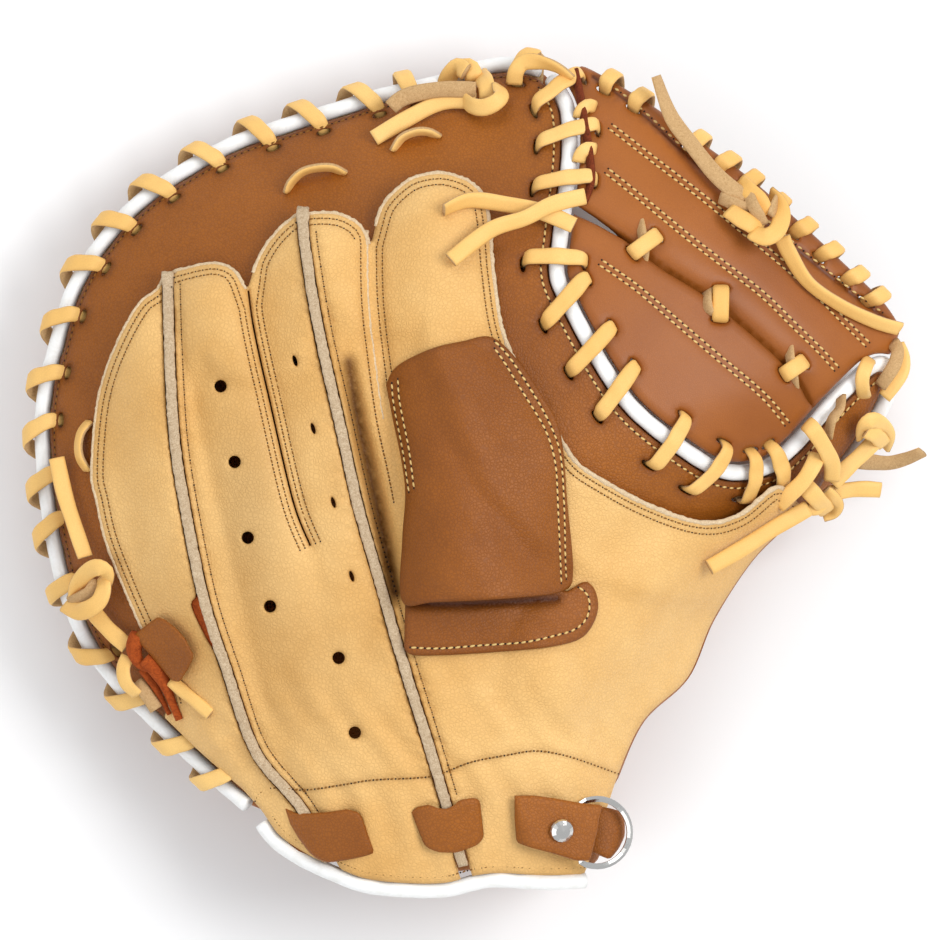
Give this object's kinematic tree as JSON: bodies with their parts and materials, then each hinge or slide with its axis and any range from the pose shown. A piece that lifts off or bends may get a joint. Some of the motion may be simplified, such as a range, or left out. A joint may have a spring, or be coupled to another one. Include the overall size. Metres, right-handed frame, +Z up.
{
  "type": "catcher mitt",
  "caption": "Padded leather catcher mitt for the left hand, resting palm down: back panels with finger stalls, hood, laced web, white piping, wrist strap with ring.",
  "frame": {"origin": "middle of the bounding box on the surface that the mitt lies on", "axes": "+X to the thumb side, +Y to the fingertips, +Z up out of the mitt's back"},
  "size_m": [0.3075, 0.2886, 0.1131],
  "materials": {
    "brown_leather": "satin",
    "blond_leather": "satin",
    "lace_leather": "satin",
    "raw_edge": "matte",
    "white_piping": "gloss",
    "nickel": "polished"
  },
  "bodies": {
    "root": {"palm": "brown_leather", "back_shell": "brown_leather", "panel_left": "blond_leather", "panel_centre": "blond_leather", "panel_right": "blond_leather", "welt_left": "raw_edge", "welt_right": "raw_edge", "index_hood": "brown_leather", "hood_base": "brown_leather", "web_upper": "brown_leather", "web_lower": "brown_leather", "web_tie_1": "lace_leather", "web_tie_2": "lace_leather", "web_tie_3": "lace_leather", "rim_piping": "white_piping", "crotch_piping": "white_piping", "wrist_piping": "white_piping", "rim_lace": "lace_leather", "crotch_lace": "lace_leather", "web_edge_lace": "lace_leather", "shell_loop_1": "lace_leather", "shell_loop_2": "lace_leather", "shell_loop_3": "lace_leather", "top_tail_a": "lace_leather", "top_tail_b": "lace_leather", "crossing_tail_a": "lace_leather", "crossing_tail_b": "lace_leather", "web_tail": "lace_leather", "web_long_lace": "lace_leather", "corner_lace": "lace_leather", "thumb_lace": "lace_leather", "thumb_tail_upper": "lace_leather", "thumb_tail_lower": "lace_leather", "thumb_tail": "lace_leather", "side_tail": "lace_leather", "tab_lace": "lace_leather", "top_knot": "lace_leather", "web_knot": "lace_leather", "thumb_knot_upper": "lace_leather", "thumb_knot_lower": "lace_leather", "side_knot": "lace_leather", "pull_tab": "brown_leather", "wrist_strap": "brown_leather", "rivet": "nickel", "ring": "nickel"}
  },
  "joints": []
}
